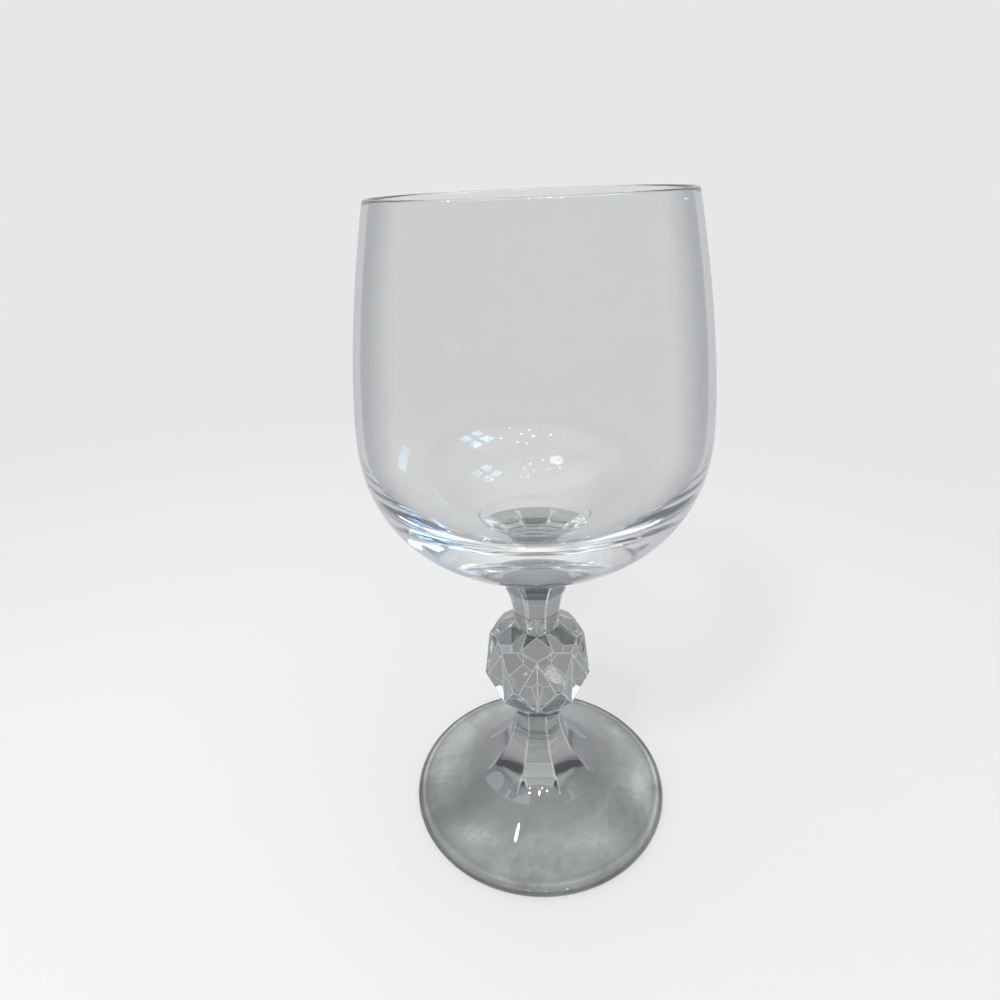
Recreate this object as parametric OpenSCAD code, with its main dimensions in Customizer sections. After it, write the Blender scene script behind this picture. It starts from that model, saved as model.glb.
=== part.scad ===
// Wine goblet of clear glass: a blown bowl, a cut stem with a ball, and a round foot.
// Millimetres, +Z up, the origin on the table under the middle of the foot.

/* [Bowl] */
// Height of the bowl from its seat on the stem to the rim
bowl_h = 74.3; // [60:0.1:90]
// Outer diameter at the widest place
bowl_d = 73; // [64:0.5:84]
// Height of the widest place above the seat
belly_h = 30; // [24:0.5:38]
// Outer diameter at the rim
rim_d = 60; // [50:0.5:64]
// Fullness of the lower bowl: 2 is an ellipse, more is squarer
bowl_fullness = 2.23; // [2:0.01:2.6]
// Bend of the side from the widest place to the rim: 1 is straight, more bends near the rim
side_bend = 1.58; // [1.2:0.01:2]
// Wall at the rim
rim_wall = 1.2; // [0.8:0.1:2]
// Wall at the widest place
belly_wall = 1.4; // [1:0.1:2.5]
// Glass between the seat and the edge of the well inside the bowl
floor_t = 7.2; // [5:0.1:10]
// Diameter of the shallow well inside the bowl
well_d = 26; // [18:0.5:32]
// Depth of the well below its edge
well_depth = 2.4; // [1:0.1:3.5]

/* [Stem] */
// Height of the stem between its two seats
stem_h = 65.7; // [60:0.1:90]
// Diameter of the round seat under the bowl
bowl_seat_d = 26; // [22:0.5:30]
// Upper neck across its flats at the narrowest
upper_neck_w = 10.7; // [9:0.1:13]
// Length over which the upper neck widens to the bowl
upper_flare_h = 18.2; // [12:0.1:20]
// Length over which the edges of the upper neck fade into its round seat
upper_fade_h = 4; // [2:0.1:6]
// Lower neck across its flats at the narrowest
lower_neck_w = 10.9; // [9:0.1:13]
// Length over which the lower neck widens to the foot
lower_flare_h = 19; // [14:0.1:22]
// Lower neck across its flats where it ends on the foot
lower_base_w = 29.4; // [24:0.1:32]
// Height of the cone on which the edges of the lower neck run out
runout_h = 2.8; // [2:0.1:4]
// Slope of that cone, and of the upper side of the foot where it starts
runout_slope = 29.6; // [26:0.1:34]

/* [Ball] */
// Diameter of the ball before it is cut
ball_d = 29; // [27:0.1:32]
// Height of the middle of the ball above the lower seat
ball_h = 33.4; // [32:0.1:38]
// Sides of the necks, grooves and cuts in each row round the ball
sides = 8; // [6:2:12]
// Angle of the top row of cuts above level
top_cut_angle = 61.5; // [57:0.5:66]
// Depth of the top row of cuts
top_cut = 1.5; // [1.2:0.05:1.8]
// Angle of the upper row of cuts above level
upper_cut_angle = 18; // [15:0.5:24]
// Depth of the upper row of cuts
upper_cut = 1.75; // [1.4:0.05:2.1]
// Angle of the lower row of cuts below level
lower_cut_angle = 23; // [18:0.5:27]
// Depth of the lower row of cuts
lower_cut = 2.05; // [1.7:0.05:2.4]
// Angle of the bottom row of cuts below level
bottom_cut_angle = 52.5; // [48:0.5:58]
// Depth of the bottom row of cuts
bottom_cut = 2; // [1.6:0.05:2.3]
// Depth of the upright grooves
groove = 2.84; // [2.4:0.02:3.2]
// Angle by which each side of a groove rises from its bottom
groove_angle = 13; // [9:0.5:18]

/* [Foot] */
// Diameter of the foot
foot_d = 67; // [58:0.5:80]
// Thickness of the foot at its edge
foot_edge = 2.2; // [1.6:0.1:3.5]
// Height of the seat for the stem above the table
foot_h = 10; // [8:0.1:13]
// Rise of the plain cone of the upper side, which the sweep up to the stem adds to
foot_cone_rise = 6; // [4:0.1:7]
// Width of the flat ring that the foot stands on
bearing_w = 5; // [3:0.5:8]
// Rise of the hollow underside in the middle
underside_rise = 1.6; // [0.8:0.1:3]

/* [Hidden] */
$fn = 96;
glass = [0.84, 0.9, 0.92, 0.45];

// Points along each half of a bowl outline, round the lip and along the foot
bowl_steps = 24;
lip_steps = 8;
foot_steps = 14;
half_step = 180 / sides;

stem_seat_z = foot_h;
ball_z = stem_seat_z + ball_h;
bowl_seat_z = stem_seat_z + stem_h;
belly_z = bowl_seat_z + belly_h;
rim_z = bowl_seat_z + bowl_h;
bowl_r = bowl_d / 2;
rim_r = rim_d / 2;
bowl_seat_r = bowl_seat_d / 2;
well_r = well_d / 2;
foot_r = foot_d / 2;

// The round seat on the foot lies just outside the corners of the lower neck
corner_clear = 0.3;
foot_seat_r = lower_base_w / 2 / cos(half_step) + corner_clear;
runout_r = foot_seat_r - runout_h / tan(runout_slope);

// Radius of the lower bowl at the height z, for a curve of radius a and depth b below the widest place
function lower_bowl_r(z, a, b) =
    a * pow(1 - pow((belly_z - z) / b, bowl_fullness), 1 / bowl_fullness);

// Depth of a lower bowl curve of radius a that passes the radius r at a drop below the widest place
function curve_depth(a, r, drop) =
    drop / pow(1 - pow(r / a, bowl_fullness), 1 / bowl_fullness);

// Share of the way from the widest place to the lip, and the outer side there
lip_z = rim_z - rim_wall / 2;
function side_share(z) = (z - belly_z) / (lip_z - belly_z);
function side_r(z) = bowl_r - (bowl_r - rim_r) * pow(side_share(z), side_bend);
function side_wall(z) = belly_wall + (rim_wall - belly_wall) * side_share(z);

inner_r = bowl_r - belly_wall;
well_edge_z = bowl_seat_z + floor_t;
outer_depth = curve_depth(bowl_r, bowl_seat_r, belly_h);
inner_depth = curve_depth(inner_r, well_r, belly_z - well_edge_z);

// Steps that lie closer together near 0
function eased(i, n) = 1 - cos(90 * i / n);

// Outer curve from the seat to the widest place, then up the side to the lip
outer_low = [for (i = [0:bowl_steps])
    let (z = bowl_seat_z + belly_h * eased(i, bowl_steps))
    [lower_bowl_r(z, bowl_r, outer_depth), z]];
outer_side = [for (i = [1:bowl_steps])
    let (z = belly_z + (lip_z - belly_z) * i / bowl_steps)
    [side_r(z), z]];

// Round lip, from the outside over the top to the inside
lip = [for (i = [1:lip_steps - 1])
    let (a = 180 * i / lip_steps)
    [rim_r - rim_wall / 2 + rim_wall / 2 * cos(a), lip_z + rim_wall / 2 * sin(a)]];

// Inner curve from the lip to the widest place, then down to the edge of the well
inner_side = [for (i = [bowl_steps:-1:1])
    let (z = belly_z + (lip_z - belly_z) * i / bowl_steps)
    [side_r(z) - side_wall(z), z]];
inner_low = [for (i = [bowl_steps:-1:0])
    let (z = well_edge_z + (belly_z - well_edge_z) * eased(i, bowl_steps))
    [lower_bowl_r(z, inner_r, inner_depth), z]];

// Well in the floor, an arc from its edge down to the middle
well_arc_r = (well_r * well_r + well_depth * well_depth) / (2 * well_depth);
well = [for (i = [bowl_steps - 1:-1:0])
    let (r = well_r * i / bowl_steps)
    [r, well_edge_z - well_depth + well_arc_r - sqrt(well_arc_r * well_arc_r - r * r)]];

// Arc that widens from narrow to wide, half widths, over the length h: its radius, and its middle's distance
// from the axis. It reaches a little past the straight sides, so that arc and side cross at an angle.
arc_dip = 0.05;
function flare_arc_r(narrow, wide, h) =
    let (gain = wide - narrow + arc_dip)
    (h * h + gain * gain) / (2 * gain);
function flare_x(narrow, wide, h) = narrow - arc_dip + flare_arc_r(narrow, wide, h);

// Half width of that arc at a height above its wide end
function flare_w(narrow, wide, h, height) =
    flare_x(narrow, wide, h) - sqrt(pow(flare_arc_r(narrow, wide, h), 2) - pow(h - height, 2));

// Upper side of the foot: a plain cone, and a sweep that runs on smoothly from the cone under the lower neck
foot_edge_r = foot_edge / 2;
foot_rim_r = foot_r - foot_edge_r;
foot_slope_w = foot_rim_r - foot_seat_r;
foot_sweep_rise = foot_h - foot_edge - foot_cone_rise;
foot_sweep = (tan(runout_slope) * foot_slope_w - foot_cone_rise) / foot_sweep_rise;
function foot_share(r) = (foot_rim_r - r) / foot_slope_w;
function foot_top_z(r) = foot_edge + foot_cone_rise * foot_share(r)
    + foot_sweep_rise * pow(foot_share(r), foot_sweep);

hollow_r = foot_rim_r - bearing_w;
hollow_arc_r = (hollow_r * hollow_r + underside_rise * underside_rise) / (2 * underside_rise);

// Foot outline: the seat, the hollow slope, the round edge, the flat ring and the hollow underside
foot_slope = [for (i = [0:foot_steps])
    let (r = foot_seat_r + foot_slope_w * i / foot_steps)
    [r, foot_top_z(r)]];
foot_round = [for (i = [1:lip_steps])
    let (a = 90 - 180 * i / lip_steps)
    [foot_rim_r + foot_edge_r * cos(a), foot_edge_r + foot_edge_r * sin(a)]];
foot_under = [for (i = [foot_steps:-1:0])
    let (r = hollow_r * i / foot_steps)
    [r, underside_rise - hollow_arc_r + sqrt(hollow_arc_r * hollow_arc_r - r * r)]];

module bowl() {
    color(glass)
        rotate_extrude()
            polygon(concat([[0, bowl_seat_z]], outer_low, outer_side, lip, inner_side, inner_low, well));
}

// Outline of the flare of a neck, with its wide end at 0
module flare_outline(narrow, wide, h) {
    difference() {
        translate([-wide, 0])
            square([2 * wide, h]);
        for (side = [-1, 1])
            translate([side * flare_x(narrow, wide, h), h])
                circle(flare_arc_r(narrow, wide, h), $fn = 180);
    }
}

// Flat sides of a neck that stands on its wide end, hollowed lengthways
module flat_sides(narrow, wide, h) {
    intersection_for (i = [0:sides / 2 - 1])
        rotate(i * 360 / sides)
            rotate([90, 0, 0])
                linear_extrude(4 * wide, center = true)
                    flare_outline(narrow, wide, h);
}

// Straight middle of a neck
module core(narrow, h) {
    rotate(half_step)
        cylinder(h, r = narrow / cos(half_step), $fn = sides);
}

// Upper neck standing on its round end, above which its edges start
module upper_neck(narrow, wide, fade) {
    fade_corner_r = flare_w(narrow, wide, upper_flare_h, fade) / cos(half_step);
    intersection() {
        flat_sides(narrow, wide, upper_flare_h);
        union() {
            cylinder(fade, wide, fade_corner_r);
            translate([0, 0, fade])
                cylinder(upper_flare_h - fade, r = 2 * wide);
        }
    }
    core(narrow, stem_h - ball_h);
}

// Lower neck standing on its round end, a cone on which its edges run out
module lower_neck(narrow, wide) {
    flat_sides(narrow, wide, lower_flare_h);
    cylinder(runout_h, foot_seat_r, runout_r);
    core(narrow, ball_h);
}

// One row of flat cuts round a ball of the radius r, at an angle above level, starting turned
module cut_row(r, angle, depth, turned) {
    for (i = [0:sides - 1])
        rotate(turned + i * 360 / sides)
            rotate([0, -angle, 0])
                translate([r - depth, -r, -r])
                    cube(2 * r);
}

// Upright grooves in a ball of the radius r, each a wedge that opens outwards
module grooves(r) {
    reach = 2 * groove;
    for (i = [0:sides - 1])
        rotate(i * 360 / sides)
            translate([r - groove, 0])
                linear_extrude(2 * r, center = true)
                    polygon([[0, 0], [reach, -reach / tan(groove_angle)], [reach, reach / tan(groove_angle)]]);
}

module ball(r) {
    difference() {
        sphere(r);
        cut_row(r, top_cut_angle, top_cut, 0);
        cut_row(r, upper_cut_angle, upper_cut, half_step);
        cut_row(r, -lower_cut_angle, lower_cut, half_step);
        cut_row(r, -bottom_cut_angle, bottom_cut, 0);
        grooves(r);
    }
}

module stem() {
    color(glass)
        union() {
            translate([0, 0, stem_seat_z])
                lower_neck(lower_neck_w / 2, lower_base_w / 2);
            translate([0, 0, ball_z])
                ball(ball_d / 2);
            translate([0, 0, bowl_seat_z])
                mirror([0, 0, 1])
                    upper_neck(upper_neck_w / 2, bowl_seat_r, upper_fade_h);
        }
}

module foot() {
    color(glass)
        rotate_extrude()
            polygon(concat([[0, foot_h]], foot_slope, foot_round, foot_under));
}

bowl();
stem();
foot();
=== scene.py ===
import math

import bmesh
import bpy
from mathutils import Matrix, Vector


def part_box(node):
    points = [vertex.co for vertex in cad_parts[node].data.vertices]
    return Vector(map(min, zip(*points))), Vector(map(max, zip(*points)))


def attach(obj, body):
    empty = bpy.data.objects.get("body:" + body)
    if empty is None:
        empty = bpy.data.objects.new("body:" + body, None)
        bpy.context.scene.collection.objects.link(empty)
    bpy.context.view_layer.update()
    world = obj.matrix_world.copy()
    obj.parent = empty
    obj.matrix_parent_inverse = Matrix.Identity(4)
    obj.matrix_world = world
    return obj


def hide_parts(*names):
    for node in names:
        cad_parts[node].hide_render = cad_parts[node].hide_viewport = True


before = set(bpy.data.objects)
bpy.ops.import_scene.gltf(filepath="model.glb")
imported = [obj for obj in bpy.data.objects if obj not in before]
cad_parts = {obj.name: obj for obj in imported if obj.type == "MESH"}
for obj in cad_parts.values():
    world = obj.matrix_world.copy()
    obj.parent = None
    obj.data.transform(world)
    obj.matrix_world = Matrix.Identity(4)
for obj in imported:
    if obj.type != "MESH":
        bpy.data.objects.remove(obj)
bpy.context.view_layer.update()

MM = 0.001
scene = bpy.context.scene

# Heights and widths that the frame gives
BOWL_SEAT_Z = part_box("stem")[1].z
FOOT_SEAT_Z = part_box("stem")[0].z
RIM_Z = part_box("bowl")[1].z
BOWL_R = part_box("bowl")[1].x
FOOT_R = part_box("foot")[1].x

# Bowl: the lower half is a squarish ellipse, the side bends in to the rim
BELLY_Z = BOWL_SEAT_Z + 30.0 * MM
RIM_R = 30.0 * MM
BOWL_FULLNESS = 2.23
SIDE_BEND = 1.58
RIM_WALL = 1.2 * MM
BELLY_WALL = 1.4 * MM
BOWL_SEAT_R = 13.0 * MM
WELL_EDGE_Z = BOWL_SEAT_Z + 7.2 * MM
WELL_R = 13.0 * MM
WELL_DEPTH = 2.4 * MM
WELL_FULLNESS = 2.5
WELL_LIP = 0.97

# Stem: the ball between two eight-sided necks, each given by its half width, the half width of its
# wide end and the length of its flare
SIDES = 8
SIDE_ANGLE = 2 * math.pi / SIDES
HALF_SIDE = SIDE_ANGLE / 2
UPPER_NECK = {"narrow": 5.35 * MM, "wide": BOWL_SEAT_R, "flare": 18.2 * MM}
LOWER_NECK = {"narrow": 5.45 * MM, "wide": 14.7 * MM, "flare": 19.0 * MM}
ARC_DIP = 0.05 * MM
UPPER_FADE = 4.0 * MM
CORNER_CLEAR = 0.3 * MM
FOOT_SEAT_R = LOWER_NECK["wide"] / math.cos(HALF_SIDE) + CORNER_CLEAR
RUNOUT_SLOPE = math.tan(math.radians(29.6))
RUNOUT_SOFT = 0.2 * MM
BALL_Z = FOOT_SEAT_Z + 33.4 * MM
BALL_R = 14.5 * MM

# Flat cuts on the ball, each an angle above level and a distance from the middle, and the upright grooves
TOP_CUT = (61.5, BALL_R - 1.5 * MM)
UPPER_CUT = (18.0, BALL_R - 1.75 * MM)
LOWER_CUT = (-23.0, BALL_R - 2.05 * MM)
BOTTOM_CUT = (-52.5, BALL_R - 2.0 * MM)
GROOVE_R = BALL_R - 2.84 * MM
GROOVE_RISE = math.tan(math.radians(13.0))
EDGE_ROUND = 0.16 * MM
EDGE_STEPS = 4
FLAT_STEPS = 14
RING_STEPS = EDGE_STEPS + FLAT_STEPS
MIN_TURN = SIDE_ANGLE / RING_STEPS
NECK_RINGS = 64
RING_CROWDING = 1.5

# Foot: a cone that sweeps up to the stem, a round edge, and a hollow underside inside the bearing ring
FOOT_EDGE_R = 1.1 * MM
FOOT_RIM_R = FOOT_R - FOOT_EDGE_R
FOOT_CONE_RISE = 6.0 * MM
BEARING_W = 5.0 * MM
UNDERSIDE_RISE = 1.6 * MM

# Fineness of the round pieces
SEGMENTS = 192
CURVE_STEPS = 48
SIDE_STEPS = 40
HOLLOW_STEPS = 24
ROUND_STEPS = 16

# The bowl and the foot stay this far from the stem at the seats inside the glass
SEAT_GAP = 0.02 * MM

# Edges that bend more than this stay sharp
SHARP_ANGLE = math.radians(25)

# Material slots of a piece after its own glass, and the height over the seat at which the cut edges end
SEAT_SLOT = 1
EDGE_SLOT = 2
EDGE_END_H = 1.0 * MM

# Glass: what comes through it straight on, and what comes through at the outline
GLASS_IOR = 1.52
GLASS_BOUNCES = 64
BOWL_TINT = (0.86, 0.868, 0.862)
STEM_TINT = (0.32, 0.33, 0.325)
# The rounded cut edges take a lighter tint than the facets, so that they show as thin bright lines:
# painted highlights
CUT_EDGE_TINT = (0.75, 0.76, 0.76)
OUTLINE_TINT = (0.06, 0.09, 0.18)
OUTLINE_END = 0.97

# Light that the glass lets down to the floor, by how far its surface turns away from the light
SHADOW_STOPS = ((0.45, (0.93, 0.935, 0.94)), (0.95, (0.40, 0.42, 0.46)))

# Faint smears on the glass
SMEAR_SCALE = 60.0
SMEAR_DETAIL = 4.0
SMEAR_RANGE = (0.5, 0.8)
SMEAR_ROUGHNESS = 0.05

# Painted shade: dark bands set into the tint of the necks, in place of the dark reflections that show in
# the glass there, by height in mm
BAND_REACH = 100.0
WHITE = (1.0, 1.0, 1.0)
PAINTED_SHADE_NAVY = (0.10, 0.13, 0.18)
PAINTED_NECK_SHADE_BANDS = (
    (20.0, WHITE), (20.4, (0.55, 0.57, 0.60)), (21.0, WHITE),
    (23.7, WHITE), (24.0, (0.30, 0.32, 0.36)), (24.5, (0.50, 0.52, 0.56)), (25.4, WHITE),
    (65.6, WHITE), (66.1, PAINTED_SHADE_NAVY), (67.6, (0.25, 0.29, 0.34)), (70.0, (0.75, 0.78, 0.80)), (72.0, WHITE),
)

# Painted light and shade in the tint of the foot: rings by radius in mm, lighter than the glass as painted
# caustic light and darker at the edge as a painted dark rim, and patches of painted caustic light and
# shade that break them up, by noise level
PAINTED_CAUSTIC_RINGS = (
    (16.3, 1.0), (20.0, 1.2), (27.0, 1.55), (30.0, 1.35),
    (31.0, 1.0), (31.8, 2.0), (32.5, 0.8), (33.3, 0.4),
)
PAINTED_PATCH_TONES = ((0.33, 0.66), (0.46, 0.92), (0.54, 1.08), (0.56, 1.36), (0.58, 1.14), (0.68, 1.50))
PATCH_SCALE = 55.0
PATCH_DETAIL = 6.0
PATCH_ROUGHNESS = 0.6
PATCH_DISTORTION = 1.0
PATCHES_FULL_R = 22.0 * MM

# Floor: lit near the goblet, and from the first to the second distance it fades to the tone of the room
FLOOR_COLOR = (0.86, 0.855, 0.85)
FLOOR_R = 6.0
FLOOR_SEGMENTS = 96
FLOOR_DROP = 0.03 * MM
FLOOR_FADE = (0.10, 0.55)

# Room, by the sine of the angle above level: pale walls, a bright ceiling, and a dark band between them.
# Straight behind the goblet the band has a gap, and it sets in between two angles from there, in radians
HAZE_COLOR = (0.80, 0.80, 0.80)
SLATE_COLOR = (0.12, 0.13, 0.17)
SKY_COLOR = (1.30, 1.30, 1.30)
GAP_STOPS = ((0.47, HAZE_COLOR), (0.84, SKY_COLOR))
BAND_STOPS = ((0.47, HAZE_COLOR), (0.55, SLATE_COLOR), (0.68, SLATE_COLOR), (0.84, SKY_COLOR))
BAND_GAP = (0.12, 0.30)

# Lamps, in degrees from the middle of the bowl: azimuth 0 is the camera's side, 90 is to its right
KEY_LAMP = (-28, 50)
SPARK_LAMPS = ((45, 62), (-38, 58), (30, 72), (80, 42), (-70, 50), (-20, 40), (15, 75))
SMALL_LAMPS = ((5, 57), (-12, 52), (0, 66), (16, 62), (26, 52), (-24, 63))
STREAK_LAMPS = ((35, 60), (20, 50), (-72, 46), (-45, 66))
WINDOW = (67.7, 52.1)
WINDOW_STEP = 0.1
FRONT_SOFTBOX = (-10, 17)
STEM_SOFTBOXES = ((-103, 42), (-89, 62), (90, 62), (38, 44), (-50, 62))
BLUE_SOFTBOX = (132, 14)
WINDOW_COLOR = (0.28, 0.62, 1.0)
FRONT_COLOR = (0.80, 0.93, 1.0)
STEM_LIGHT_COLOR = (0.70, 0.90, 1.0)
BLUE_COLOR = (0.30, 0.70, 1.0)

# Camera fitted to the photo: focal length in pixels, place and turn
PHOTO_W = 1000
FOCAL_PX = 665.3
SENSOR_W = 36.0
CAMERA_PLACE = Vector((0.46, -132.5, 153.0)) * MM
CAMERA_PITCH = math.radians(26.08)
CAMERA_ROLL = math.radians(-2.46)
CAMERA_YAW = math.radians(-3.49)
CAMERA_NEAR = 0.005
CAMERA_FAR = 20.0


def arc_radius(half_width, rise):
    return (half_width ** 2 + rise ** 2) / (2 * rise)


def steps(count, start=0):
    """Shares from 0 to 1 in so many steps."""
    return [i / count for i in range(start, count + 1)]


def eased(share):
    """Steps that lie closer together near 0."""
    return 1 - math.cos(math.pi / 2 * share)


def lower_bowl_curve(radius, low_r, low_z, count):
    """Points from (low_r, low_z) up to the widest place."""
    drop = BELLY_Z - low_z
    depth = drop / (1 - (low_r / radius) ** BOWL_FULLNESS) ** (1 / BOWL_FULLNESS)
    points = []
    for share in steps(count):
        z = low_z + drop * eased(share)
        fall = ((BELLY_Z - z) / depth) ** BOWL_FULLNESS
        points.append((radius * (1 - fall) ** (1 / BOWL_FULLNESS), z))
    return points


def bowl_side(count, inside):
    """Points from the widest place up to the lip, on the outside or the inside."""
    lip_z = RIM_Z - RIM_WALL / 2
    points = []
    for share in steps(count, 1):
        r = BOWL_R - (BOWL_R - RIM_R) * share ** SIDE_BEND
        wall = BELLY_WALL + (RIM_WALL - BELLY_WALL) * share
        points.append((r - wall * inside, BELLY_Z + (lip_z - BELLY_Z) * share))
    return points


def bowl_outline():
    """From the edge of the seat up the outside, over the lip and down to the middle of the well."""
    lip_r = RIM_WALL / 2
    lip = [
        (RIM_R - lip_r + lip_r * math.cos(math.pi * s), RIM_Z - lip_r + lip_r * math.sin(math.pi * s))
        for s in steps(ROUND_STEPS, 1)[:-1]
    ]
    inner_low = lower_bowl_curve(BOWL_R - BELLY_WALL, WELL_R, WELL_EDGE_Z, CURVE_STEPS)
    well = [
        (WELL_R * s, WELL_EDGE_Z - WELL_DEPTH * (1 - s ** WELL_FULLNESS) ** (1 / WELL_FULLNESS))
        for s in (WELL_LIP * math.cos(math.pi / 2 * share) for share in steps(HOLLOW_STEPS))
    ]
    return (
        lower_bowl_curve(BOWL_R, BOWL_SEAT_R, BOWL_SEAT_Z + SEAT_GAP, CURVE_STEPS)
        + bowl_side(SIDE_STEPS, False)
        + lip
        + bowl_side(SIDE_STEPS, True)[::-1]
        + inner_low[::-1]
        + well
    )


def flare_radius(neck):
    gain = neck["wide"] - neck["narrow"] + ARC_DIP
    return arc_radius(neck["flare"], gain)


def neck_half_width(neck, height):
    """Half width across the flats at a height above the wide end."""
    if height >= neck["flare"]:
        return neck["narrow"]
    r = flare_radius(neck)
    arc = neck["narrow"] - ARC_DIP + r - math.sqrt(r ** 2 - (neck["flare"] - height) ** 2)
    return max(neck["narrow"], arc)


def foot_outline():
    """From the edge of the seat down the upper side, round the edge and under to the middle."""
    slope_w = FOOT_RIM_R - FOOT_SEAT_R
    sweep_rise = FOOT_SEAT_Z - SEAT_GAP - 2 * FOOT_EDGE_R - FOOT_CONE_RISE
    sweep = (RUNOUT_SLOPE * slope_w - FOOT_CONE_RISE) / sweep_rise
    top = [
        (FOOT_RIM_R - slope_w * s, 2 * FOOT_EDGE_R + FOOT_CONE_RISE * s + sweep_rise * s ** sweep)
        for s in reversed(steps(CURVE_STEPS))
    ]
    edge = [
        (FOOT_RIM_R + FOOT_EDGE_R * math.sin(math.pi * s), FOOT_EDGE_R * (1 + math.cos(math.pi * s)))
        for s in steps(ROUND_STEPS, 1)
    ]
    hollow_r = FOOT_RIM_R - BEARING_W
    under_r = arc_radius(hollow_r, UNDERSIDE_RISE)
    under = [
        (hollow_r * s, UNDERSIDE_RISE - under_r + math.sqrt(under_r ** 2 - (hollow_r * s) ** 2))
        for s in reversed(steps(HOLLOW_STEPS))
    ]
    return top + edge + under


def revolve(bm, outline):
    """Turn an outline round the Z axis. It starts at the edge of a flat seat and ends on the axis."""
    rings = []
    for r, z in outline[:-1]:
        ring = []
        for i in range(SEGMENTS):
            a = 2 * math.pi * i / SEGMENTS
            ring.append(bm.verts.new((r * math.cos(a), r * math.sin(a), z)))
        rings.append(ring)
    pole = bm.verts.new((0, 0, outline[-1][1]))
    for low, high in zip(rings, rings[1:]):
        for i in range(SEGMENTS):
            j = (i + 1) % SEGMENTS
            bm.faces.new((low[i], low[j], high[j], high[i])).smooth = True
    for i in range(SEGMENTS):
        bm.faces.new((rings[-1][i], rings[-1][(i + 1) % SEGMENTS], pole)).smooth = True
    add_seat(bm, rings[0])


def add_seat(bm, ring):
    """Close a ring with the flat seat that lies inside the glass."""
    seat = bm.faces.new(ring)
    seat.material_index = SEAT_SLOT
    for edge in seat.edges:
        edge.smooth = False


def cut_plane(cut, turn):
    """Normal and distance of a flat cut on the ball, turned about the axis."""
    angle = math.radians(cut[0])
    level = math.cos(angle)
    return (level * math.cos(turn), level * math.sin(turn), math.sin(angle)), cut[1]


def meet(*planes):
    """Place where three planes meet."""
    return Matrix([plane[0] for plane in planes]).inverted() @ Vector([plane[1] for plane in planes])


def ball_corners():
    """Corners on one side of the groove that faces +X, from the ball's middle."""
    top, top_next = cut_plane(TOP_CUT, 0), cut_plane(TOP_CUT, SIDE_ANGLE)
    bottom, bottom_next = cut_plane(BOTTOM_CUT, 0), cut_plane(BOTTOM_CUT, SIDE_ANGLE)
    upper, lower = cut_plane(UPPER_CUT, HALF_SIDE), cut_plane(LOWER_CUT, HALF_SIDE)
    middle = ((0, 1, 0), 0)
    wall = ((1, -GROOVE_RISE, 0), GROOVE_R)
    return {
        "neck_top": meet(top, top_next, ((1, 0, 0), UPPER_NECK["narrow"])),
        "top_side": meet(top, top_next, upper),
        "top_tip": meet(top, upper, middle),
        "groove_top": meet(wall, upper, middle),
        "groove_side": meet(wall, upper, lower),
        "groove_end": meet(wall, lower, middle),
        "bottom_tip": meet(bottom, lower, middle),
        "bottom_side": meet(bottom, bottom_next, lower),
        "neck_end": meet(bottom, bottom_next, ((1, 0, 0), LOWER_NECK["narrow"])),
    }


def cut_ball(bm):
    """The ball with its flat cuts and grooves, open where the necks go on."""
    corners = ball_corners()
    verts = {}

    def corner(name, side, flip=False):
        place = corners[name].copy()
        if flip:
            place.y = -place.y
        place.rotate(Matrix.Rotation(side * SIDE_ANGLE, 3, "Z"))
        key = tuple(round(c / MM, 3) + 0.0 for c in place)
        if key not in verts:
            verts[key] = bm.verts.new(place + Vector((0, 0, BALL_Z)))
        return verts[key]

    for i in range(SIDES):
        j = i + 1
        top = corner("top_tip", i)
        bottom = corner("bottom_tip", i)
        groove = (corner("groove_top", i), corner("groove_end", i))
        left, right = corner("groove_side", i, True), corner("groove_side", i)
        bm.faces.new((
            corner("neck_top", i, True), corner("neck_top", i), corner("top_side", i), top,
            corner("top_side", i, True)
        ))
        bm.faces.new((
            corner("top_side", i), corner("top_tip", j), corner("groove_top", j),
            corner("groove_side", j, True), right, groove[0], top
        ))
        bm.faces.new((groove[0], right, groove[1]))
        bm.faces.new((groove[0], groove[1], left))
        bm.faces.new((
            right, corner("groove_side", j, True), corner("groove_end", j), corner("bottom_tip", j),
            corner("bottom_side", i), bottom, groove[1]
        ))
        bm.faces.new((
            bottom, corner("bottom_side", i), corner("neck_end", i), corner("neck_end", i, True),
            corner("bottom_side", i, True)
        ))


def opening_ring(bm, up):
    """The places round the upper or lower opening of the ball, in order, with the flats divided."""
    border = [e for e in bm.edges if e.is_boundary and (e.verts[0].co.z > BALL_Z) == up]
    flats = sorted(border, key=lambda e: e.calc_length())[-SIDES:]
    bmesh.ops.subdivide_edges(bm, edges=flats, cuts=FLAT_STEPS - 1)
    ring = {v for e in bm.edges if e.is_boundary for v in e.verts if (v.co.z > BALL_Z) == up}
    start = (SIDE_ANGLE - EDGE_STEPS * MIN_TURN) / 2
    return sorted(ring, key=lambda v: (math.atan2(v.co.y, v.co.x) - start) % (2 * math.pi))


def flat_places(first, neck, height):
    """Angle and radius of places round a neck at a height above its wide end, and its half width there.

    They start from the places where the neck leaves the ball. The corners keep their rounding while the
    flats widen."""
    half = neck_half_width(neck, height)
    shift = (half - neck["narrow"]) / math.cos(HALF_SIDE)
    corners = []
    for i, place in enumerate(first):
        a = (i // RING_STEPS + 0.5) * SIDE_ANGLE
        corners.append(place + Vector((math.cos(a), math.sin(a))) * shift)
    places = []
    for i, place in enumerate(corners):
        side, step = divmod(i, RING_STEPS)
        if step > EDGE_STEPS:
            before = corners[side * RING_STEPS + EDGE_STEPS]
            after = corners[(side + 1) * RING_STEPS % len(corners)]
            place = before.lerp(after, (step - EDGE_STEPS) / FLAT_STEPS)
        places.append((math.atan2(place.y, place.x), place.length))
    return places, half


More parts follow.
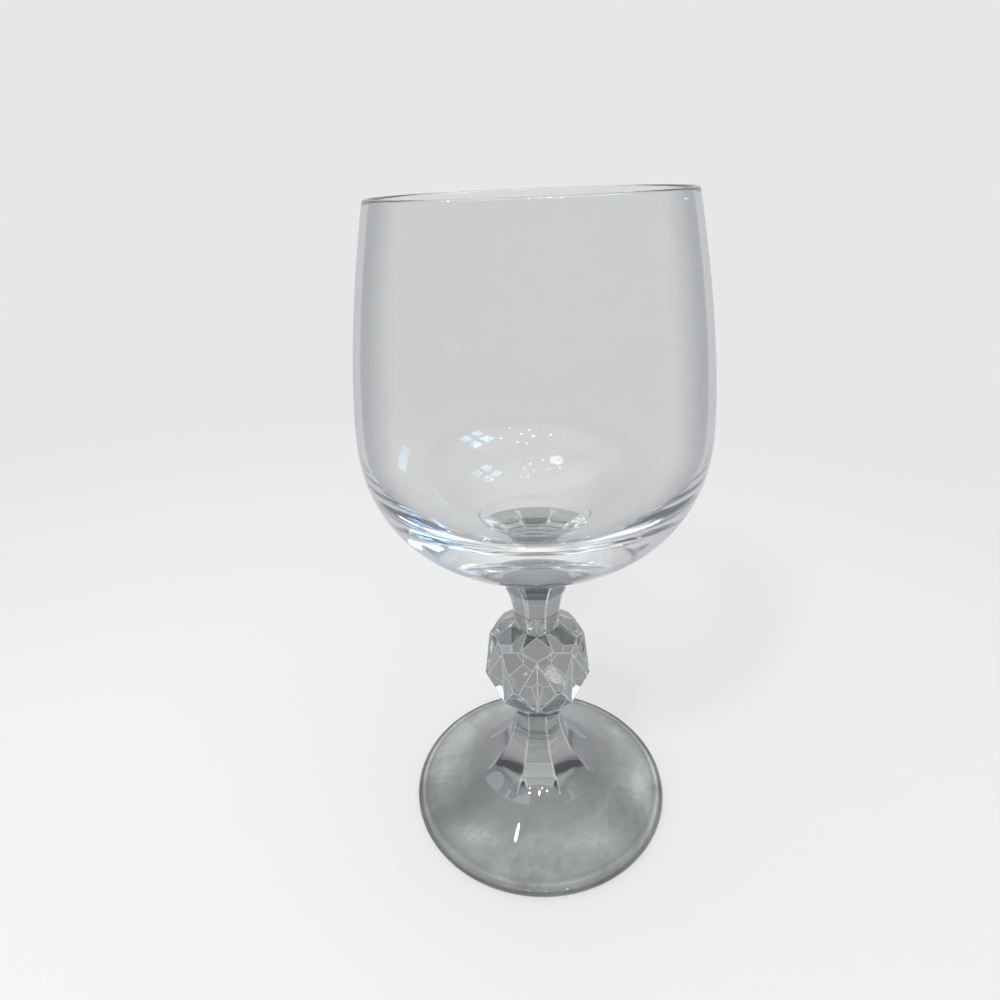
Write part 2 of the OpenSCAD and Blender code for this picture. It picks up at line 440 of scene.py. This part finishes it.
def upper_places(first, height):
    """Places round the upper neck: over the fade they spread evenly, and a cone cuts the corners down."""
    places, half = flat_places(first, UPPER_NECK, height)
    fade = max(0.0, 1 - height / UPPER_FADE)
    if not fade:
        return places
    corner_r = neck_half_width(UPPER_NECK, UPPER_FADE) / math.cos(HALF_SIDE)
    cone_r = corner_r + (UPPER_NECK["wide"] - corner_r) * fade
    faded = []
    for i, (turn, radius) in enumerate(places):
        side, step = divmod(i, RING_STEPS)
        even = (side + 0.5 + (step - EDGE_STEPS / 2) / RING_STEPS) * SIDE_ANGLE
        a = even + ((turn - even + math.pi) % (2 * math.pi) - math.pi) * (1 - fade)
        local = (a + HALF_SIDE) % SIDE_ANGLE - HALF_SIDE
        r = radius + (half / math.cos(local) - radius) * fade
        faded.append((a, min(r, cone_r)))
    return faded


def lower_places(first, height):
    """Places round the lower neck: its edges run out on a cone, with a soft hollow along the line."""
    places, half = flat_places(first, LOWER_NECK, height)
    cone_r = FOOT_SEAT_R - height / RUNOUT_SLOPE
    if not height:
        return [(a, cone_r) for a, r in places]
    joined = []
    for a, r in places:
        gap = (r - cone_r) / 2
        joined.append((a, (r + cone_r) / 2 + math.hypot(gap, RUNOUT_SOFT) - RUNOUT_SOFT / 2))
    return joined


def add_neck(bm, seat_z, up):
    """Carry an opening of the ball on to the round seat, in rings that lie closer near the seat."""
    ring = opening_ring(bm, up)
    first = [v.co.xy for v in ring]
    sign = -1 if up else 1
    places_at = upper_places if up else lower_places
    length = abs(ring[0].co.z - seat_z)
    opening = {e for v in ring for e in v.link_edges if e.is_boundary}
    for share in steps(NECK_RINGS, 1):
        height = length * (1 - share) ** RING_CROWDING
        places = places_at(first, height)
        z = seat_z + sign * height
        above = [bm.verts.new((r * math.cos(a), r * math.sin(a), z)) for a, r in places]
        for i in range(len(ring)):
            j = (i + 1) % len(ring)
            face = bm.faces.new((ring[i], ring[j], above[j], above[i]))
            face.smooth = True
            if i % RING_STEPS < EDGE_STEPS and height > EDGE_END_H:
                face.material_index = EDGE_SLOT
        ring = above
    add_seat(bm, ring)
    for edge in opening:
        edge.smooth = False


def build_stem(bm):
    cut_ball(bm)
    rounded = bmesh.ops.bevel(
        bm,
        geom=[e for e in bm.edges if not e.is_boundary],
        offset=EDGE_ROUND,
        offset_type="OFFSET",
        segments=EDGE_STEPS,
        profile=0.5,
        affect="EDGES",
    )
    for face in rounded["faces"]:
        face.material_index = EDGE_SLOT
    add_neck(bm, BOWL_SEAT_Z, True)
    add_neck(bm, FOOT_SEAT_Z, False)


def build_bowl(bm):
    revolve(bm, bowl_outline())


def build_foot(bm):
    revolve(bm, foot_outline())


def make_piece(name, build, node, materials):
    """Build a piece that stands in for a node of the CAD model."""
    bm = bmesh.new()
    build(bm)
    bmesh.ops.recalc_face_normals(bm, faces=bm.faces[:])
    for edge in bm.edges:
        if edge.calc_face_angle(0) > SHARP_ANGLE:
            edge.smooth = False
    mesh = bpy.data.meshes.new(name)
    bm.to_mesh(mesh)
    bm.free()
    for material in materials:
        mesh.materials.append(material)
    piece = bpy.data.objects.new(name, mesh)
    scene.collection.objects.link(piece)
    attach(piece, "root")
    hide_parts(node)
    return piece


def new_material(name):
    material = bpy.data.materials.new(name)
    material.use_nodes = True
    material.node_tree.nodes.clear()
    return material, material.node_tree.nodes, material.node_tree.links


def color_ramp(nodes, stops):
    """A ramp through (position, color) stops, in rising order."""
    ramp = nodes.new("ShaderNodeValToRGB")
    while len(ramp.color_ramp.elements) < len(stops):
        ramp.color_ramp.elements.new(0.5)
    for element, (position, color) in zip(ramp.color_ramp.elements, stops):
        element.position = position
        element.color = (*color, 1)
    return ramp


def gray_ramp(nodes, stops):
    """A ramp through (position, tone) stops."""
    return color_ramp(nodes, [(position, (tone,) * 3) for position, tone in stops])


def painted_neck_shade(nodes, links, place):
    """Painted shade: dark bands round the necks, in place of dark reflections in the glass."""
    split = nodes.new("ShaderNodeSeparateXYZ")
    links.new(place.outputs["Object"], split.inputs["Vector"])
    reach = nodes.new("ShaderNodeMapRange")
    reach.inputs["From Max"].default_value = BAND_REACH * MM
    links.new(split.outputs["Z"], reach.inputs["Value"])
    bands = color_ramp(nodes, [(z / BAND_REACH, color) for z, color in PAINTED_NECK_SHADE_BANDS])
    links.new(reach.outputs["Result"], bands.inputs["Fac"])
    return bands.outputs["Color"]


def painted_caustic_patches(nodes, links, place):
    """Soft patches of painted light and shade, with a few thin lines of painted caustic light."""
    noise = nodes.new("ShaderNodeTexNoise")
    noise.inputs["Scale"].default_value = PATCH_SCALE
    noise.inputs["Detail"].default_value = PATCH_DETAIL
    noise.inputs["Roughness"].default_value = PATCH_ROUGHNESS
    noise.inputs["Distortion"].default_value = PATCH_DISTORTION
    links.new(place.outputs["Object"], noise.inputs["Vector"])
    tones = gray_ramp(nodes, PAINTED_PATCH_TONES)
    links.new(noise.outputs["Fac"], tones.inputs["Fac"])
    return tones.outputs["Color"]


def painted_foot_caustics(nodes, links, place):
    """Painted caustic light and shade: rings round the axis, with patches that set in outside the stem."""
    split = nodes.new("ShaderNodeSeparateXYZ")
    links.new(place.outputs["Object"], split.inputs["Vector"])
    flat = nodes.new("ShaderNodeCombineXYZ")
    links.new(split.outputs["X"], flat.inputs["X"])
    links.new(split.outputs["Y"], flat.inputs["Y"])
    radius = nodes.new("ShaderNodeVectorMath")
    radius.operation = "LENGTH"
    links.new(flat.outputs["Vector"], radius.inputs[0])
    reach = nodes.new("ShaderNodeMapRange")
    reach.inputs["From Max"].default_value = FOOT_R
    links.new(radius.outputs["Value"], reach.inputs["Value"])
    rings = gray_ramp(nodes, [(r * MM / FOOT_R, tone) for r, tone in PAINTED_CAUSTIC_RINGS])
    links.new(reach.outputs["Result"], rings.inputs["Fac"])
    patchy = nodes.new("ShaderNodeMapRange")
    patchy.inputs["From Min"].default_value = FOOT_SEAT_R
    patchy.inputs["From Max"].default_value = PATCHES_FULL_R
    patchy.inputs["To Min"].default_value = 1.0
    links.new(radius.outputs["Value"], patchy.inputs["Value"])
    links.new(painted_caustic_patches(nodes, links, place), patchy.inputs["To Max"])
    tone = nodes.new("ShaderNodeMath")
    tone.operation = "MULTIPLY"
    links.new(rings.outputs["Color"], tone.inputs[0])
    links.new(patchy.outputs["Result"], tone.inputs[1])
    return tone.outputs["Value"]


def outline_tint(nodes, links, facing, tint, outline_start):
    """The glass's tint, which darkens where the surface turns away."""
    ramp = color_ramp(nodes, ((outline_start, tint), (OUTLINE_END, OUTLINE_TINT)))
    links.new(facing.outputs["Facing"], ramp.inputs["Fac"])
    return ramp.outputs["Color"]


def smears(nodes, links, place):
    """Roughness of a polished surface that has been wiped."""
    noise = nodes.new("ShaderNodeTexNoise")
    noise.inputs["Scale"].default_value = SMEAR_SCALE
    noise.inputs["Detail"].default_value = SMEAR_DETAIL
    links.new(place.outputs["Object"], noise.inputs["Vector"])
    rough = nodes.new("ShaderNodeMapRange")
    rough.inputs["From Min"].default_value = SMEAR_RANGE[0]
    rough.inputs["From Max"].default_value = SMEAR_RANGE[1]
    rough.inputs["To Min"].default_value = 0.0
    rough.inputs["To Max"].default_value = SMEAR_ROUGHNESS
    links.new(noise.outputs["Fac"], rough.inputs["Value"])
    return rough.outputs["Result"]


def waves(nodes, links, place, scale, height):
    """Normal of a surface that is not quite even."""
    noise = nodes.new("ShaderNodeTexNoise")
    noise.inputs["Scale"].default_value = scale
    noise.inputs["Detail"].default_value = 1.0
    links.new(place.outputs["Object"], noise.inputs["Vector"])
    bump = nodes.new("ShaderNodeBump")
    bump.inputs["Strength"].default_value = 1.0
    bump.inputs["Distance"].default_value = height
    links.new(noise.outputs["Fac"], bump.inputs["Height"])
    return bump.outputs["Normal"]


def let_light_through(nodes, links, facing, shader):
    """Mix a glass shader with a clear one for light on its way between lamps and floor."""
    shade = color_ramp(nodes, SHADOW_STOPS)
    links.new(facing.outputs["Facing"], shade.inputs["Fac"])
    clear = nodes.new("ShaderNodeBsdfTransparent")
    links.new(shade.outputs["Color"], clear.inputs["Color"])
    path = nodes.new("ShaderNodeLightPath")
    through = nodes.new("ShaderNodeMath")
    through.operation = "MAXIMUM"
    links.new(path.outputs["Is Shadow Ray"], through.inputs[0])
    links.new(path.outputs["Is Diffuse Ray"], through.inputs[1])
    mix = nodes.new("ShaderNodeMixShader")
    links.new(through.outputs["Value"], mix.inputs["Fac"])
    links.new(shader.outputs["BSDF"], mix.inputs[1])
    links.new(clear.outputs["BSDF"], mix.inputs[2])
    return mix.outputs["Shader"]


def glass(name, tint, outline_start, wave_scale, wave_height, tone=None):
    """Clear glass with faint waves and smears; a tone function paints shade bands or caustic light and
    shade into its tint.
    """
    material, nodes, links = new_material(name)
    place = nodes.new("ShaderNodeTexCoord")
    facing = nodes.new("ShaderNodeLayerWeight")
    facing.inputs["Blend"].default_value = 0.5
    color = outline_tint(nodes, links, facing, tint, outline_start)
    # The tone function's bands and patches are painted light and shade in the tint
    if tone:
        toned = nodes.new("ShaderNodeVectorMath")
        toned.operation = "MULTIPLY"
        links.new(color, toned.inputs[0])
        links.new(tone(nodes, links, place), toned.inputs[1])
        color = toned.outputs["Vector"]
    shader = nodes.new("ShaderNodeBsdfPrincipled")
    shader.inputs["Transmission Weight"].default_value = 1.0
    shader.inputs["IOR"].default_value = GLASS_IOR
    links.new(color, shader.inputs["Base Color"])
    links.new(smears(nodes, links, place), shader.inputs["Roughness"])
    links.new(waves(nodes, links, place, wave_scale, wave_height), shader.inputs["Normal"])
    output = nodes.new("ShaderNodeOutputMaterial")
    links.new(let_light_through(nodes, links, facing, shader), output.inputs["Surface"])
    return material


def seam_glass():
    """The hot joints: glass goes straight on to glass, so nothing shows."""
    material, nodes, links = new_material("joined_glass")
    output = nodes.new("ShaderNodeOutputMaterial")
    clear = nodes.new("ShaderNodeBsdfTransparent")
    links.new(clear.outputs["BSDF"], output.inputs["Surface"])
    return material


def floor_material():
    """Pale paint that far away glows in the tone of the room, so that floor and room meet unseen."""
    material, nodes, links = new_material("pale_floor")
    paint = nodes.new("ShaderNodeBsdfDiffuse")
    paint.inputs["Color"].default_value = (*FLOOR_COLOR, 1)
    haze = nodes.new("ShaderNodeEmission")
    haze.inputs["Color"].default_value = (*HAZE_COLOR, 1)
    place = nodes.new("ShaderNodeTexCoord")
    away = nodes.new("ShaderNodeVectorMath")
    away.operation = "LENGTH"
    links.new(place.outputs["Object"], away.inputs[0])
    fade = nodes.new("ShaderNodeMapRange")
    fade.interpolation_type = "SMOOTHSTEP"
    fade.inputs["From Min"].default_value = FLOOR_FADE[0]
    fade.inputs["From Max"].default_value = FLOOR_FADE[1]
    links.new(away.outputs["Value"], fade.inputs["Value"])
    mix = nodes.new("ShaderNodeMixShader")
    links.new(fade.outputs["Result"], mix.inputs["Fac"])
    links.new(paint.outputs["BSDF"], mix.inputs[1])
    links.new(haze.outputs["Emission"], mix.inputs[2])
    output = nodes.new("ShaderNodeOutputMaterial")
    links.new(mix.outputs["Shader"], output.inputs["Surface"])
    return material


def make_floor():
    bm = bmesh.new()
    bmesh.ops.create_circle(bm, cap_ends=True, segments=FLOOR_SEGMENTS, radius=FLOOR_R)
    bmesh.ops.translate(bm, verts=bm.verts[:], vec=(0, 0, -FLOOR_DROP))
    mesh = bpy.data.meshes.new("floor")
    bm.to_mesh(mesh)
    bm.free()
    mesh.materials.append(floor_material())
    floor = bpy.data.objects.new("floor", mesh)
    scene.collection.objects.link(floor)


def room_light(nodes, links, height, stops):
    """Background light that changes with the height of the direction."""
    ramp = color_ramp(nodes, stops)
    links.new(height, ramp.inputs["Fac"])
    background = nodes.new("ShaderNodeBackground")
    links.new(ramp.outputs["Color"], background.inputs["Color"])
    return background.outputs["Background"]


def make_world():
    """The room round the goblet. Its dark band, above the picture, shows in the cut glass."""
    world = bpy.data.worlds.new("studio")
    world.use_nodes = True
    nodes, links = world.node_tree.nodes, world.node_tree.links
    nodes.clear()
    place = nodes.new("ShaderNodeTexCoord")
    split = nodes.new("ShaderNodeSeparateXYZ")
    links.new(place.outputs["Generated"], split.inputs["Vector"])
    turn = nodes.new("ShaderNodeMath")
    turn.operation = "ARCTAN2"
    links.new(split.outputs["X"], turn.inputs[0])
    links.new(split.outputs["Y"], turn.inputs[1])
    aside = nodes.new("ShaderNodeMath")
    aside.operation = "ABSOLUTE"
    links.new(turn.outputs["Value"], aside.inputs[0])
    banded = nodes.new("ShaderNodeMapRange")
    banded.inputs["From Min"].default_value = BAND_GAP[0]
    banded.inputs["From Max"].default_value = BAND_GAP[1]
    links.new(aside.outputs["Value"], banded.inputs["Value"])
    mix = nodes.new("ShaderNodeMixShader")
    links.new(banded.outputs["Result"], mix.inputs["Fac"])
    links.new(room_light(nodes, links, split.outputs["Z"], GAP_STOPS), mix.inputs[1])
    links.new(room_light(nodes, links, split.outputs["Z"], BAND_STOPS), mix.inputs[2])
    output = nodes.new("ShaderNodeOutputWorld")
    links.new(mix.outputs["Shader"], output.inputs["Surface"])
    scene.world = world


def place_lamp(name, direction, distance, shape, size, energy, color=WHITE, offset=(0, 0)):
    """Put an area lamp in a direction from the middle of the bowl, facing it.

    The size is across and up, and so is the offset, in metres."""
    azimuth, elevation = (math.radians(angle) for angle in direction)
    level = math.cos(elevation)
    away = Vector((math.sin(azimuth) * level, -math.cos(azimuth) * level, math.sin(elevation)))
    turn = away.to_track_quat("Z", "Y").to_matrix()
    light = bpy.data.lights.new(name, "AREA")
    light.shape = shape
    light.size, light.size_y = size
    light.energy = energy
    light.color = color
    lamp = bpy.data.objects.new(name, light)
    middle = Vector((0, 0, BELLY_Z)) + away * distance + turn @ Vector((*offset, 0))
    lamp.matrix_world = Matrix.Translation(middle) @ turn.to_4x4()
    lamp.visible_camera = False
    scene.collection.objects.link(lamp)
    return lamp


def show_in_glass(lamp, piece=None):
    """Keep a lamp's light off the floor, and on one piece if that is given."""
    lamp.visible_diffuse = False
    if piece:
        lamp.light_linking.receiver_collection = bpy.data.collections[piece.name + "_only"]


def make_lamps(bowl, stem, foot):
    """A key light for the floor, and lamps that only show in the glass."""
    for piece in (bowl, stem, foot):
        bpy.data.collections.new(piece.name + "_only").objects.link(piece)
    key = place_lamp("key_softbox", KEY_LAMP, distance=0.8, shape="DISK", size=(0.16, 0.16), energy=2.2)
    key.visible_glossy = False
    for direction in SPARK_LAMPS:
        spark = place_lamp(
            "spark_lamp", direction, distance=1.0, shape="DISK", size=(0.03, 0.03), energy=0.8
        )
        show_in_glass(spark, bowl)
    for direction in SMALL_LAMPS:
        small = place_lamp(
            "small_lamp", direction, distance=1.0, shape="DISK", size=(0.035, 0.035), energy=0.35
        )
        show_in_glass(small)
    for direction in STREAK_LAMPS:
        streak = place_lamp(
            "streak_lamp", direction, distance=1.0, shape="DISK", size=(0.04, 0.04), energy=0.12
        )
        show_in_glass(streak, foot)
    for row in (-WINDOW_STEP, WINDOW_STEP):
        for column in (-WINDOW_STEP, WINDOW_STEP):
            pane = place_lamp(
                "window_pane", WINDOW, distance=1.1, shape="SQUARE", size=(0.14, 0.14), energy=0.8,
                color=WINDOW_COLOR, offset=(column, row)
            )
            show_in_glass(pane, bowl)
    front = place_lamp(
        "front_softbox", FRONT_SOFTBOX, distance=1.2, shape="RECTANGLE", size=(0.8, 0.35), energy=2.2,
        color=FRONT_COLOR
    )
    show_in_glass(front, stem)
    for direction in STEM_SOFTBOXES:
        softbox = place_lamp(
            "stem_softbox", direction, distance=1.2, shape="SQUARE", size=(0.4, 0.4), energy=1.2,
            color=STEM_LIGHT_COLOR
        )
        show_in_glass(softbox, stem)
    blue = place_lamp(
        "blue_softbox", BLUE_SOFTBOX, distance=1.2, shape="RECTANGLE", size=(0.45, 0.2), energy=1.4,
        color=BLUE_COLOR
    )
    blue.visible_glossy = False
    show_in_glass(blue, bowl)


def make_camera():
    level = math.cos(CAMERA_PITCH)
    forward = Vector((math.sin(CAMERA_YAW) * level, math.cos(CAMERA_YAW) * level, -math.sin(CAMERA_PITCH)))
    right = Vector((math.cos(CAMERA_YAW), -math.sin(CAMERA_YAW), 0))
    up = right.cross(forward)
    tilted_right = math.cos(CAMERA_ROLL) * right + math.sin(CAMERA_ROLL) * up
    tilted_up = -math.sin(CAMERA_ROLL) * right + math.cos(CAMERA_ROLL) * up
    lens = bpy.data.cameras.new("photo_camera")
    lens.sensor_width = SENSOR_W
    lens.lens = FOCAL_PX * SENSOR_W / PHOTO_W
    lens.clip_start = CAMERA_NEAR
    lens.clip_end = CAMERA_FAR
    camera = bpy.data.objects.new("photo_camera", lens)
    turn = Matrix((tilted_right, tilted_up, -forward)).transposed().to_4x4()
    camera.matrix_world = Matrix.Translation(CAMERA_PLACE) @ turn
    scene.collection.objects.link(camera)
    scene.camera = camera


def set_bounces():
    """Light goes many times to and fro inside the walls of the glass."""
    scene.cycles.max_bounces = GLASS_BOUNCES
    scene.cycles.glossy_bounces = GLASS_BOUNCES
    scene.cycles.transmission_bounces = GLASS_BOUNCES
    scene.cycles.transparent_max_bounces = GLASS_BOUNCES
    scene.cycles.caustics_refractive = False
    scene.cycles.caustics_reflective = False


# The stem and the foot have one tint, so that the joint between them stays unseen
joined = seam_glass()
blown = glass("blown_glass", BOWL_TINT, outline_start=0.42, wave_scale=18.0, wave_height=0.04 * MM)
# The necks' glass carries painted shade bands in its tint
cut = glass(
    "cut_glass", STEM_TINT, outline_start=0.45, wave_scale=40.0, wave_height=0.004 * MM, tone=painted_neck_shade
)
# Lighter glass on the rounded cut edges: painted highlights along them
cut_edge = glass(
    "cut_edge_glass", CUT_EDGE_TINT, outline_start=0.75, wave_scale=200.0, wave_height=0.02 * MM
)
# The foot's glass carries painted caustic light and shade in its tint
pressed = glass(
    "pressed_glass", STEM_TINT, outline_start=0.65, wave_scale=60.0, wave_height=0.06 * MM, tone=painted_foot_caustics
)
goblet_bowl = make_piece("goblet_bowl", build_bowl, "bowl", [blown, joined])
goblet_stem = make_piece("goblet_stem", build_stem, "stem", [cut, joined, cut_edge])
goblet_foot = make_piece("goblet_foot", build_foot, "foot", [pressed, joined])

make_floor()
make_world()
make_lamps(goblet_bowl, goblet_stem, goblet_foot)
make_camera()
set_bounces()
scene.view_settings.view_transform = "Standard"
